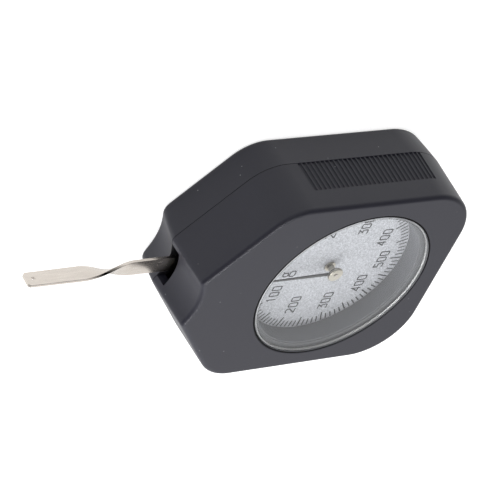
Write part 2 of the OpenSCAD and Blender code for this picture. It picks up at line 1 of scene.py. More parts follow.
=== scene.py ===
"""Looks of the dial tension gauge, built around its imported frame.

Shapes are worked out in millimetres in the part's own frame: the dial axis is Z, the lever runs along +Y
and the gauge lies on its back at z = 0. Each mesh is scaled to metres when it is made.
"""
import json

import bmesh
import bpy
import numpy as np
from mathutils import Matrix, Vector
from mathutils.geometry import tessellate_polygon

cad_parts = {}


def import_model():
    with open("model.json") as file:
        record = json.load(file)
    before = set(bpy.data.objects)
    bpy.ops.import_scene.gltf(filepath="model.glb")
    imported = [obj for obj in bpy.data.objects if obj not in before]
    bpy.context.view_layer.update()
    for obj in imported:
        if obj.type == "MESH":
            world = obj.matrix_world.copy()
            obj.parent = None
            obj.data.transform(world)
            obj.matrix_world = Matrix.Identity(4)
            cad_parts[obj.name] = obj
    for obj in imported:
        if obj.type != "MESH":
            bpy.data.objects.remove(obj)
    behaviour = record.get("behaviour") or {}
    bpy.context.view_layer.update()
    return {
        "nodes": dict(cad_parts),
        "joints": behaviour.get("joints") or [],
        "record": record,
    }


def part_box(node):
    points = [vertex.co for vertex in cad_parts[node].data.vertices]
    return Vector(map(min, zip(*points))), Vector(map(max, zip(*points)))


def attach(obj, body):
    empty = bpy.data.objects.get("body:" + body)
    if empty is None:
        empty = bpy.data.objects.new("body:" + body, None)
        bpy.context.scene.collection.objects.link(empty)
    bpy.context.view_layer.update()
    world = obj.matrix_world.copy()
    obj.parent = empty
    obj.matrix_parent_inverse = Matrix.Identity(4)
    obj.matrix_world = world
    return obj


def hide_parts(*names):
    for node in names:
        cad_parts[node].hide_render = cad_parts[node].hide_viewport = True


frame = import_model()

MM = 0.001
X, Y, Z = range(3)


def box_mm(node):
    """Lowest and highest corner of a node of the frame, in millimetres."""
    return [np.array(corner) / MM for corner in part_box(node)]


# Sizes read from the frame
shell_low, shell_high = box_mm("front_shell")
dial_high = box_mm("dial_plate")[1]
crystal_low, crystal_high = box_mm("crystal")
seal_low = box_mm("crystal_seal")[0]
hub_low, hub_high = box_mm("pointer_hub")
blade_high = box_mm("pointer")[1]
arm_low, arm_high = box_mm("lever_arm")
plate_low = box_mm("bottom_plate")[0]
CASE_W = 2 * shell_high[X]
CASE_T = shell_high[Z]
SEAM_Z = shell_low[Z]
REAR_REACH = -shell_low[Y]
DIAL_Z = dial_high[Z]
LEDGE_Z = seal_low[Z]
CRYSTAL_R = crystal_high[X]
PLATE_Z = plate_low[Z]
TIP_Y = arm_high[Y]
STRIP_START = arm_low[Y]
LEVER_Z = (arm_low[Z] + arm_high[Z]) / 2
PIVOT_Y = frame["joints"][0]["pos_m"][Y] / MM

# Plan of the case, as the part's source has it
SHOULDER_Y = 28
NOSE_Y = 45.8
NOSE_W = 15.4
REAR_CORNER_R = 15.7
SHOULDER_R = 12.8
NOSE_R = 3
SCOOP_R = 14.5
SCOOP_DEPTH = 1.7
SCOOP_FLARE = 0.8
SCOOP_Y = NOSE_Y - SCOOP_DEPTH + SCOOP_R
HORN_BLEND = 0.5
HORN_BLEND_BACK = 3.2

# Section of the case
WALL = 2
EDGE_R = 1.2
EDGE_STEPS = 11
FACE_INSET = 1.25 * EDGE_R
FRONT_DRAFT = np.radians(1.75)
REAR_DRAFT = np.radians(4.5)
SEAM_GROOVE = 0.08
SEAM_SHADE = SEAM_GROOVE + 0.01
LIP_H = 1
LIP_T = 0.9
LIP_GAP = 0.12
SLOT_W = 11.2
SLOT_H = 3.5
GRIP_LEN = 38.4
GRIP_H = 9
GRIP_COUNT = 28
GRIP_DEPTH = 0.5
GRIP_SHARE = 0.38
GRIP_STEP = 0.03
GRIP_CLEAR = 2

# Columns of the case's surface: even steps along the outline, with more at the grooves, horns and slot
PLAIN_COLUMNS = 420
HORN_COLUMNS = 44
HORN_SPREAD = np.radians(3.2)
SLOT_EDGE = np.radians(0.012)
GROOVE_COLUMNS = np.array([-1, -0.92, -0.75, -0.45, 0, 0.45, 0.75, 0.92, 1])
GROOVE_MARGIN = 0.01
TANGENT_STEP = 0.25
LEAST_FACING = 0.1
OUTLINE_SAMPLES = 7201
HORN_RANGE = (0.4 * np.pi, 0.5 * np.pi)
HORN_SAMPLES = 2001

# Dial well and crystal
OPENING_R = 25
DIAL_OVERLAP = 1.2
WELL_R = dial_high[X] - DIAL_OVERLAP
SKIRT_MARGIN = 1
SKIRT_R = OPENING_R + SKIRT_MARGIN
SKIRT_GAP = 0.05
OPENING_EDGE_R = 0.15
OPENING_STEPS = 6
RIM_W = 0.5
RIM_INSET = 0.03
LEDGE_BEVEL = 0.04
CRYSTAL_BEVEL = 0.36
BEVEL_LINE_W = 0.28
BEVEL_LINE_SHARE = 0.45
CRYSTAL_EDGE_T = 0.1
EDGE_GLEAM = 0.45
EDGE_GLEAM_OUT = 0.08
# Share of the painted highlight on the bevel's front faces
EDGE_PAINTED_GLOW = 0.55
CRYSTAL_COLUMNS = 240
CRYSTAL_SHARP = 20

# Screw bosses of the case: each pair lies in from the side, and from the shoulder or from the rear end
BOSS_R = 3
SCREW_HOLE_R = 1.4
HEAD_HOLE_R = 2.65
HEAD_HOLE_Z = 2
PILOT_R = 1.18
PILOT_DEPTH = 7.4
FRONT_INSET = 6.4
REAR_INSET = 10.4
REAR_SIDE_INSET = 9.4
FRONT_BOSS = (CASE_W / 2 - FRONT_INSET, SHOULDER_Y - FRONT_INSET)
REAR_BOSS = (CASE_W / 2 - REAR_SIDE_INSET, REAR_INSET - REAR_REACH)
CASE_BOSSES = [(side * x, y) for side in (-1, 1) for x, y in (FRONT_BOSS, REAR_BOSS)]

# Screw bosses of the movement: one at the rear and one on each side
MOVEMENT_BOSS_R = 2.4
MOVEMENT_PILOT_R = 0.88
MOVEMENT_PILOT_Z = 0.8
MOVEMENT_REAR_INSET = 20.5
MOVEMENT_SIDE_INSET = 14.3
MOVEMENT_SIDE_Y = 5
MOVEMENT_SIDE_X = CASE_W / 2 - MOVEMENT_SIDE_INSET
MOVEMENT_BOSSES = [(0, MOVEMENT_REAR_INSET - REAR_REACH)]
MOVEMENT_BOSSES += [(side * MOVEMENT_SIDE_X, MOVEMENT_SIDE_Y) for side in (-1, 1)]

# Lever strip
ROOT_W = 4.7
TIP_W = arm_high[Z] - arm_low[Z]
TIP_NICK = 0.5
STRIP_T = 0.8
STRIP_EDGE_R = 0.06
TWIST_START = 55.5
TWIST_LEN = 14
TWIST_EASE = 0.6
TWIST_RINGS = 49
EYE_R = 0.5
EYE_INSET = 2
EYE_Y = TIP_Y - EYE_INSET
SHAFT_HOLE_R = 1.53
RIVET_HOLE_R = 0.63
RIVET_OFFSET = 3.4
HOLE_COLUMNS = 32

# Pointer hub
HUB_BORE_R = 0.53
HUB_STEM_R = 0.95
HUB_RIM_R = 0.18
HUB_RIM_STEPS = 6
HUB_COLUMNS = 64

# Printed scale: radii of the marks, their widths, and the numbers
SCALE_GAP = 0.2
SCALE_R = WELL_R - SCALE_GAP
SCALE_STEPS = 100
LONG_STEPS = 5
LONG_MARK_R = 19.3
LONG_MARK_W = 0.4
MARK_R = 20.4
MARK_W = 0.34
INK_LIFT = 0.004
INK_T = 0.016
NUMBER_STEPS = 10
STEP_VALUE = 10
NUMBER_RING = np.array([14.5, 16.5])
NUMBER_H = 2.66
NUMBER_STROKE = 0.38
UNIT_AT = np.array([-1.3, 11.9])
UNIT_H = 3.7

# Specks of dust on the plastic: cells per millimetre, a speck's radius in cells, and its strength
DUST_PER_MM = 0.22
DUST_R = 0.048
DUST_SHARE = 0.55

# Camera of the photograph: aim point, direction, roll and lens
CAMERA_AIM = (6.7, 26.92, 12)
CAMERA_AZIMUTH = np.radians(41.41)
CAMERA_ELEVATION = np.radians(32.12)
CAMERA_ROLL = np.radians(148.25)
CAMERA_DISTANCE = 632.3
CAMERA_LENS = 193.25
CAMERA_SENSOR = 36
CAMERA_NEAR = 0.01

# Floor
FLOOR_Z = -0.02
FLOOR_REACH = 2000
FLOOR_GLOW = 0.72

# Surroundings: a fade is the cosine of the angle to a direction where its share starts and where it is full
WORLD_LIGHT = 0.42
WORLD_WHITE = 1.0
DARK_WAYS = [(0.25, -0.58, 0.775), (0.18, 0.86, 0.47)]
DARK_FADE = (0.55, 0.85)
DARK_SHARE = 0.75
OVERHEAD_WAY = (0, 0, 1)
OVERHEAD_FADE = (0.6, 0.92)
OVERHEAD_SHARE = 0.45
BRIGHT_WAY = (-0.64, -0.57, 0.52)
BRIGHT_FADE = (0.7, 0.94)
BRIGHT_SHARE = 0.35

# Lamps: place, size, power, and whether a lamp shows only in mirrors or only lights what it falls on
LAMPS = {
    "key": {"at": (200, 450, 750), "size": 900, "watts": 2.4, "in_mirrors": False},
    "overhead": {"at": (-60, -40, 900), "size": 1400, "watts": 7.4, "in_mirrors": False},
    "fill": {"at": (-690, 550, 240), "size": 900, "watts": 16.0, "in_mirrors": False},
    "sheen": {"at": (-290, 20, 860), "size": 320, "watts": 6.0, "in_mirrors": True},
}

# Meshes: columns of a plain turned form, and the angle in degrees past which an edge stays sharp
COLUMNS = 48
SHARP = 35

# Sockets of a colour Mix node, which share their names and so go by number
MIX_SHARE = 0
MIX_COLOURS = (6, 7)
MIX_RESULT = 2


class Skin:
    """Points and faces of one piece, gathered ring by ring."""

    def __init__(self):
        self.points = []
        self.faces = []
        self.count = 0

    def add(self, points):
        """Adds an array of points, one row each, and returns their numbers."""
        points = np.asarray(points, float).reshape(-1, 3)
        numbers = np.arange(self.count, self.count + len(points))
        self.points.append(points)
        self.count += len(points)
        return numbers

    def ring(self, x, y, z):
        """Adds a ring of points at x, y and z, each an array or one number."""
        return self.add(np.stack(np.broadcast_arrays(x, y, z), axis=-1))

    def circle(self, centre, radius, z, count=COLUMNS):
        """Adds a level circle about a centre."""
        turn = np.arange(count) * 2 * np.pi / count
        return self.ring(centre[0] + radius * np.cos(turn), centre[1] + radius * np.sin(turn), z)

    def bridge(self, a, b, closed=True):
        """Joins two rings of equal length with quads."""
        last = None if closed else -1
        quads = np.stack([a, b, np.roll(b, -1), np.roll(a, -1)], axis=1)[:last]
        self.faces += quads.tolist()

    def loft(self, rings):
        """Joins each ring to the next."""
        for a, b in zip(rings, rings[1:]):
            self.bridge(a, b)

    def lathe(self, centre, profile, count=COLUMNS):
        """Turns a profile of (radius, z) points about a vertical axis and returns its rings."""
        rings = [self.circle(centre, radius, z, count) for radius, z in profile]
        self.loft(rings)
        return rings

    def fill(self, *loops):
        """Fills the flat region inside the first loop and outside the others with triangles."""
        points = np.concatenate(self.points)
        corners = [[Vector(p) for p in points[loop]] for loop in loops]
        numbers = np.concatenate(loops)
        self.faces += [numbers[list(triangle)].tolist() for triangle in tessellate_polygon(corners)]

    def make(self, name, material, body, sharp=SHARP):
        """Makes the mesh in metres, its faces outwards and smooth up to a sharp angle, riding on a body."""
        mesh = bpy.data.meshes.new(name)
        mesh.from_pydata((np.concatenate(self.points) * MM).tolist(), [], self.faces)
        work = bmesh.new()
        work.from_mesh(mesh)
        bmesh.ops.recalc_face_normals(work, faces=work.faces)
        work.to_mesh(mesh)
        work.free()
        mesh.shade_smooth()
        mesh.set_sharp_from_angle(angle=np.radians(sharp))
        mesh.materials.append(material)
        piece = bpy.data.objects.new(name, mesh)
        bpy.context.scene.collection.objects.link(piece)
        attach(piece, body)
        return piece


class Socket:
    """An output of a shader node that works in Python sums: each operation adds a Math node."""

    def __init__(self, sheet, socket):
        self.sheet = sheet
        self.socket = socket

    def math(self, operation, *others):
        """Adds a Math node on this value and others."""
        return self.sheet.add("ShaderNodeMath", {"operation": operation}, (self, *others))

    def __add__(self, other):
        return self.math("ADD", other)

    def __sub__(self, other):
        return self.math("SUBTRACT", other)

    def __rsub__(self, other):
        return self.sheet.add("ShaderNodeMath", {"operation": "SUBTRACT"}, (other, self))

    def __mul__(self, other):
        return self.math("MULTIPLY", other)

    def __gt__(self, other):
        return self.math("GREATER_THAN", other)

    __radd__ = __add__
    __rmul__ = __mul__


class Sheet:
    """The node tree of a material or of the world."""

    def __init__(self, owner):
        owner.use_nodes = True
        self.tree = owner.node_tree
        self.tree.nodes.clear()

    def add(self, kind, settings=None, sockets=(), output=0):
        """Adds a node: its settings come first, then its inputs by name or number. Returns one output."""
        node = self.tree.nodes.new(kind)
        for key, value in (settings or {}).items():
            if key == "stops":
                self.set_stops(node.color_ramp, value)
            else:
                setattr(node, key, value)
        pairs = sockets.items() if isinstance(sockets, dict) else enumerate(sockets)
        for key, value in pairs:
            if isinstance(value, Socket):
                self.tree.links.new(value.socket, node.inputs[key])
            else:
                node.inputs[key].default_value = value
        return Socket(self, node.outputs[output]) if node.outputs else node

    @staticmethod
    def set_stops(ramp, stops):
        """Sets a colour ramp's stops, each a place and a grey level."""
        while len(ramp.elements) < len(stops):
            ramp.elements.new(0)
        for element, (place, grey) in zip(ramp.elements, stops):
            element.position = place
            element.color = (grey, grey, grey, 1)

    def here(self):
        """The point on the object, in metres in the part's frame."""
        return self.add("ShaderNodeTexCoord", output="Object")

    def radius(self):
        """Distance from the dial axis, in millimetres."""
        flat = self.add("ShaderNodeVectorMath", {"operation": "MULTIPLY"}, (self.here(), (1 / MM, 1 / MM, 0)))
        return self.add("ShaderNodeVectorMath", {"operation": "LENGTH"}, (flat,), output="Value")

    def along(self, axis):
        """Distance along one of the frame's axes, X, Y or Z, in millimetres."""
        return self.add("ShaderNodeSeparateXYZ", {}, (self.here(),), output=axis) * (1 / MM)

    def noise(self, per_mm, detail=3, roughness=0.55, stretch=(1, 1, 1)):
        """Noise with a given number of grains per millimetre, stretched along the axes."""
        scale = [share / MM for share in stretch]
        place = self.add("ShaderNodeMapping", {}, {"Vector": self.here(), "Scale": scale})
        sockets = {"Vector": place, "Scale": per_mm, "Detail": detail, "Roughness": roughness}
        return self.add("ShaderNodeTexNoise", {}, sockets)

    def blend(self, share, a, b):
        """Mixes two colours by a share from 0 to 1."""
        sockets = {MIX_SHARE: share, MIX_COLOURS[0]: a, MIX_COLOURS[1]: b}
        return self.add("ShaderNodeMix", {"data_type": "RGBA"}, sockets, output=MIX_RESULT)

    def ramp(self, value, *stops):
        """Maps a value through a ramp of grey levels."""
        return self.add("ShaderNodeValToRGB", {"stops": stops}, (value,))

    def bump(self, height, strength, depth_mm):
        """Normal of a surface whose height varies by up to depth_mm."""
        sockets = {"Strength": strength, "Distance": depth_mm * MM, "Height": height}
        return self.add("ShaderNodeBump", {}, sockets)

    def surface(self, sockets):
        """Adds a principled surface."""
        return self.add("ShaderNodeBsdfPrincipled", {}, sockets)

    def output(self, shader):
        """Ends the tree in a material output."""
        self.add("ShaderNodeOutputMaterial", {}, (shader,))


def srgb(red, green, blue):
    """Linear colour with full alpha from the 0 to 255 levels that a screen shows."""
    level = np.array([red, green, blue]) / 255
    linear = np.where(level > 0.04045, ((level + 0.055) / 1.055) ** 2.4, level / 12.92)
    return (*linear.tolist(), 1.0)


def new_sheet(name):
    """A new material and its empty node tree."""
    material = bpy.data.materials.new(name)
    return material, Sheet(material)


def moulded_plastic():
    """Dark grey moulded plastic: a fine spark-eroded grain, faint cloudiness and a few specks of dust. The
    wall of the dial well is smooth and lighter, and the seam beside the grip is dull and painted darker, a
    painted shade for the gap between the two halves."""
    material, sheet = new_sheet("moulded_plastic")
    cloud = sheet.noise(0.12, detail=4)
    grain = sheet.noise(7, detail=2)
    cells = sheet.add("ShaderNodeTexVoronoi", {}, {"Vector": sheet.here(), "Scale": DUST_PER_MM / MM})
    speck = sheet.ramp(cells, (0, 1), (DUST_R, 0))
    height = sheet.along(Z)
    well = (height > DIAL_Z - WALL) * (1 - (sheet.radius() > OPENING_R))
    beside_grip = sheet.along(Y).math("ABSOLUTE") > GRIP_LEN / 2
    # Painted shade: the seam beside the grip is coloured darker, standing in for the shade in the gap between
    # the halves.
    seam = (1 - ((height - SEAM_Z).math("ABSOLUTE") > SEAM_SHADE)) * beside_grip
    plain = sheet.blend(cloud, srgb(20, 20, 28), srgb(26, 26, 35))
    grained = sheet.blend(grain, plain, srgb(32, 32, 43))
    dusty = sheet.blend(speck * DUST_SHARE, grained, srgb(170, 170, 172))
    walled = sheet.blend(well, dusty, srgb(107, 108, 112))
    sheet.output(sheet.surface({
        "Base Color": sheet.blend(seam, walled, srgb(20, 20, 25)),
        "Roughness": 0.4 + 0.14 * grain + 0.4 * seam,
        "Specular IOR Level": 0.34,
        "Normal": sheet.bump(grain * (1 - well), 0.2, 0.03),
    }))
    return material


def clear_crystal():
    """Clear window: light passes straight through and a Fresnel share of it is mirrored. The bevelled edge is
    painted whitish, a painted highlight for the light a real crystal's edge gathers from inside, and a fine
    dark line of painted shade runs inside it."""
    material, sheet = new_sheet("clear_crystal")
    radius = sheet.radius()
    bevel_r = CRYSTAL_R - CRYSTAL_BEVEL
    edge = radius > bevel_r
    line = (radius > bevel_r - BEVEL_LINE_W) * (1 - edge)
    smear = sheet.noise(0.5, detail=3)
    mirror = sheet.surface({
        "Base Color": (1, 1, 1, 1),
        "Metallic": 1.0,
        "Roughness": 0.02 + 0.05 * smear + 0.5 * edge,
    })
    through = sheet.add("ShaderNodeBsdfTransparent", {}, ((0.985, 0.99, 0.99, 1),))
    share = sheet.add("ShaderNodeFresnel", {}, {"IOR": 1.38})
    outside = 1 - sheet.add("ShaderNodeNewGeometry", output="Backfacing")
    gleam = EDGE_GLEAM - (EDGE_GLEAM - EDGE_GLEAM_OUT) * outside
    mirrored = (share * outside).math("MAXIMUM", edge * gleam)
    # Painted shade: a dark surface mixed into a fine ring just inside the bevel.
    shade = sheet.surface({"Base Color": srgb(40, 41, 43), "Roughness": 0.5})
    lined = sheet.add("ShaderNodeMixShader", {}, (line * BEVEL_LINE_SHARE * outside, through, shade))
    # Painted highlight: a whitish diffuse surface on the bevel's front faces stands in for the light a real
    # crystal's edge gathers.
    painted_glow = sheet.surface({"Base Color": srgb(186, 188, 190), "Roughness": 0.4})
    bevelled = sheet.add("ShaderNodeMixShader", {}, (edge * EDGE_PAINTED_GLOW * outside, lined, painted_glow))
    sheet.output(sheet.add("ShaderNodeMixShader", {}, (mirrored, bevelled, mirror)))
    return material


def satin_dial():
    """Silvered dial: a fine sparkling grain over satin metal."""
    material, sheet = new_sheet("satin_dial")
    grain = sheet.ramp(sheet.noise(2.6, detail=4, roughness=0.75), (0.36, 0), (0.64, 1))
    cloud = sheet.noise(0.25, detail=3)
    silver = sheet.blend(grain, srgb(126, 127, 133), srgb(206, 207, 212))
    shaded = sheet.blend(cloud * 0.25, silver, srgb(184, 185, 190))
    sheet.output(sheet.surface({
        "Base Color": shaded,
        "Metallic": 0.25,
        "Roughness": 0.42 + 0.2 * grain,
        "Normal": sheet.bump(grain, 0.25, 0.02),
    }))
    return material


def printed_ink():
    """Thin black print with a slightly uneven cover."""
    material, sheet = new_sheet("printed_ink")
    cover = sheet.noise(4, detail=3)
    ink = sheet.blend(cover, srgb(10, 10, 11), srgb(24, 24, 26))
    sheet.output(sheet.surface({"Base Color": ink, "Roughness": 0.5 + 0.2 * cover}))
    return material


def rolled_steel(name, light, dark, roughness):
    """Rolled or turned metal: fine streaks along Y, a cloudy sheen and an uneven gloss."""
    material, sheet = new_sheet(name)
    streak = sheet.noise(3, detail=4, stretch=(1, 0.06, 1))
    cloud = sheet.noise(0.35, detail=3)
    tint = sheet.blend(streak, dark, light)
    sheet.output(sheet.surface({
        "Base Color": sheet.blend(cloud * 0.3, tint, light),
        "Metallic": 1.0,
        "Roughness": roughness + 0.12 * streak,
        "Normal": sheet.bump(streak, 0.08, 0.01),
    }))
    return material


def pointer_paint():
    """Satin dark grey paint on the pointer."""
    material, sheet = new_sheet("pointer_paint")
    grain = sheet.noise(8, detail=2)
    paint = sheet.blend(grain, srgb(20, 21, 23), srgb(34, 35, 38))
    sheet.output(sheet.surface({"Base Color": paint, "Roughness": 0.38 + 0.12 * grain}))
    return material


def seal_rubber():
    """Matt seal: its rim is black. The faces behind the crystal, which a real crystal's edge mirrors away,
    are painted as grey as the well, a painted reflection in their place."""
    material, sheet = new_sheet("seal_rubber")
    grain = sheet.noise(5, detail=3)
    rim = sheet.radius() > OPENING_R - RIM_W + RIM_INSET
    # Painted reflection: the faces inside the rim are coloured grey like the well.
    grey = sheet.blend(grain, srgb(98, 99, 102), srgb(110, 111, 114))
    black = sheet.blend(grain, srgb(12, 12, 13), srgb(20, 20, 21))
    sheet.output(sheet.surface({
        "Base Color": sheet.blend(rim, grey, black),
        "Roughness": 0.7 + 0.15 * grain,
        "Specular IOR Level": 0.08,
    }))
    return material


finishes = {
    "shell": moulded_plastic(),
    "crystal": clear_crystal(),
    "seal": seal_rubber(),
    "dial": satin_dial(),
    "steel": rolled_steel("rolled_steel", srgb(202, 195, 187), srgb(172, 165, 158), 0.19),
    "spring_steel": rolled_steel("blued_spring", srgb(96, 108, 142), srgb(58, 66, 96), 0.24),
    "brass": rolled_steel("movement_brass", srgb(222, 196, 136), srgb(184, 154, 94), 0.28),
    "nickel": rolled_steel("turned_nickel", srgb(206, 200, 187), srgb(164, 158, 146), 0.24),
    "pointer_paint": pointer_paint(),
}
for entry in frame["record"]["subparts"]:
    node = frame["nodes"][entry["node"]]
    node.data.materials.clear()
    node.data.materials.append(finishes[entry["material_slot"]])


# Plan of the case: arcs at the corners, each tangent to the two sides that meet there
slope_turn = np.arctan2(CASE_W / 2 - NOSE_W / 2, NOSE_Y - SHOULDER_Y)
nose_turn = np.pi / 2 - slope_turn
side_corners = np.array([
    [CASE_W / 2 - REAR_CORNER_R, REAR_CORNER_R - REAR_REACH, REAR_CORNER_R],
    [CASE_W / 2 - SHOULDER_R, SHOULDER_Y - SHOULDER_R * np.tan(slope_turn / 2), SHOULDER_R],
    [NOSE_W / 2 - NOSE_R * np.tan(nose_turn / 2), NOSE_Y - NOSE_R, NOSE_R],
])
corners = np.concatenate([side_corners, side_corners * [-1, 1, 1]])
even_normals = np.radians(np.arange(0, 360, TANGENT_STEP))
normals = np.concatenate([even_normals, [nose_turn, np.pi - nose_turn]])
corner_x, corner_y, corner_r = corners.T
supports = np.cos(normals)[:, None] * corner_x + np.sin(normals)[:, None] * corner_y + corner_r
support = supports.max(axis=1)


def outline_reach(turn, inset):
    """Distance from the dial axis to the outline moved in by inset: for each direction, the least of
    (support - inset) / cos over all the outline's tangents."""
    facing = np.cos(turn[:, None] - normals)
    inset = np.broadcast_to(inset, turn.shape)[:, None]
    reach = (support - inset) / np.maximum(facing, LEAST_FACING)
    return np.where(facing > LEAST_FACING, reach, np.inf).min(axis=1)


def scoop_reach(turn, inset, flare):
    """Distance from the dial axis to the near side of the scoop's circle, grown by inset and flare."""
    along = SCOOP_Y * np.sin(turn)
    inside = along**2 - SCOOP_Y**2 + (SCOOP_R + inset + flare) ** 2
    met = (inside > 0) & (along > 0)
    return np.where(met, along - np.sqrt(np.maximum(inside, 0)), CASE_W)


def plan_reach(turn, inset, flare=0):
    """Least of the outline and the scoop, eased where they meet at the horns of the nose, and eased more the
    further the scoop flares towards the back."""
    outline = outline_reach(turn, inset)
    scoop = scoop_reach(turn, inset, flare)
    ease = HORN_BLEND + (HORN_BLEND_BACK - HORN_BLEND) * flare / SCOOP_FLARE
    near = np.maximum(ease - np.abs(outline - scoop), 0) / ease
    return np.minimum(outline, scoop) - near**2 * ease / 4


# Grip grooves, each a circle's arc, and the direction of the slot's end
groove_pitch = GRIP_LEN / GRIP_COUNT
groove_r = groove_pitch * GRIP_SHARE
groove_half = np.sqrt(groove_r**2 - (groove_r - GRIP_DEPTH) ** 2)
groove_y = (np.arange(GRIP_COUNT) + 0.5) * groove_pitch - GRIP_LEN / 2
slot_turn = np.arctan2(SCOOP_Y - np.sqrt(SCOOP_R**2 - SLOT_W**2 / 4), SLOT_W / 2)


def even_turns():
    """Directions of points spaced evenly along the seam's outline."""
    turn = np.linspace(0, 2 * np.pi, OUTLINE_SAMPLES)
    reach = plan_reach(turn, 0)
    steps = np.hypot(np.diff(reach * np.cos(turn)), np.diff(reach * np.sin(turn)))
    along = np.concatenate([[0], np.cumsum(steps)])
    return np.interp(np.arange(PLAIN_COLUMNS) * along[-1] / PLAIN_COLUMNS, along, turn)


def case_columns():
    """All the columns' directions, in order round the case."""
    groove = np.arctan2((groove_y[:, None] + GROOVE_COLUMNS * groove_half).ravel(), CASE_W / 2)
    even = even_turns()
    beside = np.abs(np.sin(even)) > np.sin(groove.max() + GROOVE_MARGIN)
    dense = np.linspace(*HORN_RANGE, HORN_SAMPLES)
    horn = dense[np.argmin(np.abs(outline_reach(dense, 0) - scoop_reach(dense, 0, 0)))]
    horns = horn + np.linspace(-HORN_SPREAD, HORN_SPREAD, HORN_COLUMNS)
    slot = slot_turn + np.array([-SLOT_EDGE, SLOT_EDGE])
    parts = [even[beside], groove, np.pi - groove, horns, np.pi - horns, slot, np.pi - slot]
    turn = np.sort(np.concatenate(parts) % (2 * np.pi))
    return turn[np.diff(turn, prepend=-1) > SLOT_EDGE / 2]


turns = case_columns()
in_slot = np.abs(turns - np.pi / 2) < np.pi / 2 - slot_turn


def column_ring(skin, z, inset, flare=0, dent=0):
    """Ring of the case's columns at height z, inset from the outline and dented inwards along X."""
    reach = plan_reach(turns, inset, flare)
    x = reach * np.cos(turns)
    return skin.ring(x - np.sign(x) * dent, reach * np.sin(turns), z)


def round_ring(skin, radius, z):
    """Ring of the case's columns on a circle about the dial axis."""
    return skin.ring(radius * np.cos(turns), radius * np.sin(turns), z)


def groove_dents():
    """Depth of the grip grooves at each column: a circle's arc across each groove, on the two sides only."""
    y = np.tan(turns) * CASE_W / 2 * np.sign(np.cos(turns))
    offset = np.abs(y[:, None] - groove_y).min(axis=1)
    arc = np.sqrt(np.maximum(groove_r**2 - offset**2, 0)) - (groove_r - GRIP_DEPTH)
    return np.where(np.abs(y) < GRIP_LEN / 2, np.maximum(arc, 0), 0)


def front_shell():
    """Front shell: rings from the dial well over the front face, down the drafted wall and up the inside."""
    skin = Skin()
    roof = CASE_T - WALL
    skirt_z = DIAL_Z + SKIRT_GAP
    low = np.where(in_slot, SEAM_Z + SLOT_H, SEAM_Z)
    edge_z = CASE_T - EDGE_R
    dents = groove_dents()

    def lifted(z):
        """A height on the wall, moved up in proportion above the slot."""
        return low + (z - SEAM_Z) * (edge_z - low) / (edge_z - SEAM_Z)

    def draft(z):
        """Inset of the drafted wall at a height."""
        return (z - SEAM_Z) * np.tan(FRONT_DRAFT)

    rim = [
        (OPENING_R + OPENING_EDGE_R * (1 - np.cos(a)), CASE_T - OPENING_EDGE_R * (1 - np.sin(a)))
        for a in np.linspace(0, np.pi / 2, OPENING_STEPS)
    ]
    well = [(WELL_R, skirt_z), (WELL_R, LEDGE_Z - LEDGE_BEVEL), (WELL_R + LEDGE_BEVEL, LEDGE_Z)]
    well += [(OPENING_R, LEDGE_Z), *rim, (OPENING_R + 2 * OPENING_EDGE_R, CASE_T)]
    rings = [round_ring(skin, radius, z) for radius, z in well]
    rings.append(column_ring(skin, CASE_T, draft(CASE_T) + FACE_INSET))
    for a in np.linspace(np.pi / 2, 0, EDGE_STEPS):
        inset = draft(CASE_T) + EDGE_R * (1 - np.cos(a))
        rings.append(column_ring(skin, edge_z + EDGE_R * np.sin(a), inset))
    panel = SEAM_Z + GRIP_H
    rows = [(panel + GRIP_CLEAR, 0), (panel + GRIP_STEP, 0), (panel - GRIP_STEP, 1), (SEAM_Z + GRIP_H / 2, 1)]
    for z, cut in rows:
        rings.append(column_ring(skin, lifted(z), draft(lifted(z)), dent=cut * dents))
    rings.append(column_ring(skin, low + SEAM_GROOVE, draft(low), dent=dents))
    rings.append(column_ring(skin, low, draft(low) + SEAM_GROOVE, dent=dents))
    rings.append(column_ring(skin, low, draft(low) + WALL))
    rings.append(column_ring(skin, roof, draft(roof) + WALL))
    skin.loft(rings)
    skirt = [round_ring(skin, SKIRT_R, roof), round_ring(skin, SKIRT_R, skirt_z)]
    skin.loft([*skirt, rings[0]])
    boss = [(BOSS_R, roof), (BOSS_R, SEAM_Z), (PILOT_R, SEAM_Z), (PILOT_R, SEAM_Z + PILOT_DEPTH)]
    tubes = [skin.lathe(centre, boss) for centre in CASE_BOSSES]
    for tube in tubes:
        skin.fill(tube[-1])
    skin.fill(rings[-1], skirt[0], *[tube[0] for tube in tubes])
    piece = skin.make("front_shell_skin", finishes["shell"], "case")
    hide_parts("front_shell")


